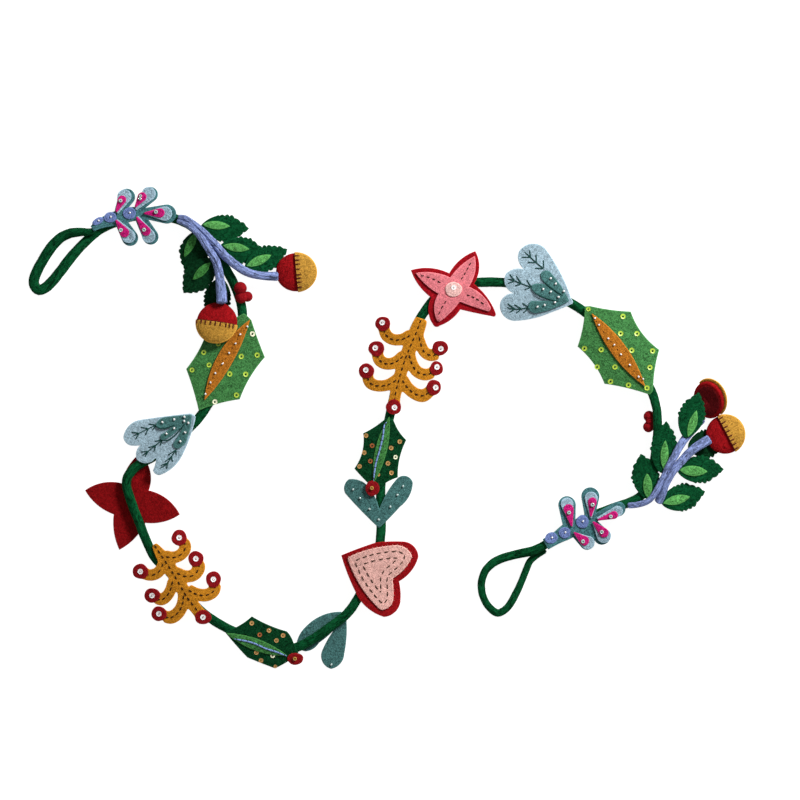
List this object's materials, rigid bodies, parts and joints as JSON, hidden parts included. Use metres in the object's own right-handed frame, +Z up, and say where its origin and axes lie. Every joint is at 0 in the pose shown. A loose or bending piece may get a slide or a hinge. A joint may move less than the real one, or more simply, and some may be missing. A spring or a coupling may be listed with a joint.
{
  "type": "felt flower garland",
  "caption": "Felt rope garland laid in an S, with a hanging loop at each end and felt leaves, flowers, buds, berries and a heart sewn along it.",
  "frame": {"origin": "the middle of the garland's bounding box, on the surface that it lies on", "axes": "+X runs along the garland from its left hanging loop to its right one, +Y points to the upper edge of the picture, +Z is up, away from the surface"},
  "size_m": [0.7158, 0.4823, 0.0264],
  "materials": {
    "rope_green": "felted wool, dark green, fibrous",
    "teal": "wool felt, grey teal",
    "light_blue": "wool felt, pale grey blue",
    "lilac": "rolled wool felt, lilac blue",
    "leaf_green": "wool felt, deep green",
    "holly_green": "wool felt, mid green",
    "midrib_orange": "wool felt, burnt orange",
    "bud_red": "stuffed wool felt, deep red",
    "bud_yellow": "wool felt, golden yellow",
    "star_red": "wool felt, crimson",
    "star_pink": "wool felt, salmon pink",
    "mustard": "wool felt, mustard",
    "heart_pink": "wool felt, pale pink",
    "magenta": "wool felt, magenta",
    "vein_green": "wool felt, light green",
    "disc_lilac": "wool felt, lilac",
    "disc_red": "wool felt, red",
    "disc_pale": "wool felt, pale pink",
    "bead_clear": "small glass beads",
    "sequin_lime": "cup sequins, lime",
    "sequin_gold": "cup sequins, gold",
    "sequin_white": "cup sequins, pearl white",
    "thread_dark": "cotton sewing thread, dark brown",
    "thread_teal": "cotton embroidery thread, teal",
    "yarn_blue": "woollen yarn, light blue"
  },
  "bodies": {
    "root": {"berries_left": "bud_red", "berries_right": "bud_red", "branch_left": "mustard", "branch_right": "mustard", "bud_left_1": "bud_red", "bud_left_1_cap": "bud_yellow", "bud_left_2": "bud_red", "bud_left_2_cap": "bud_yellow", "bud_right_1": "bud_red", "bud_right_1_cap": "bud_yellow", "bud_right_2": "bud_red", "bud_right_2_cap": "bud_yellow", "fingers_left": "teal", "fingers_right": "teal", "heart": "star_red", "heart_top": "heart_pink", "holly_left": "holly_green", "holly_left_rib": "midrib_orange", "holly_right": "holly_green", "holly_right_rib": "midrib_orange", "leaf_left_1": "leaf_green", "leaf_left_2": "leaf_green", "leaf_left_3": "leaf_green", "leaf_left_4": "leaf_green", "leaf_left_5": "leaf_green", "leaf_left_6": "leaf_green", "leaf_right_1": "leaf_green", "leaf_right_2": "leaf_green", "leaf_right_3": "leaf_green", "leaf_right_4": "leaf_green", "leaf_right_5": "leaf_green", "leaf_right_6": "leaf_green", "lobes_left": "light_blue", "lobes_right": "light_blue", "petal_left_1": "light_blue", "petal_left_2": "light_blue", "petal_left_3": "light_blue", "petal_left_4": "light_blue", "petal_left_5": "light_blue", "petal_right_1": "light_blue", "petal_right_2": "light_blue", "petal_right_3": "light_blue", "petal_right_4": "light_blue", "petal_right_5": "light_blue", "rope": "rope_green", "small_holly_left": "leaf_green", "small_holly_right": "leaf_green", "sprig_left": "teal", "sprig_right": "teal", "star_back": "star_red", "star_front": "star_red", "star_pink": "star_pink", "stem_left_1": "lilac", "stem_left_2": "lilac", "stem_right_1": "lilac", "stem_right_2": "lilac", "twin_leaf_back": "teal", "twin_leaf_front": "teal"}
  },
  "joints": []
}
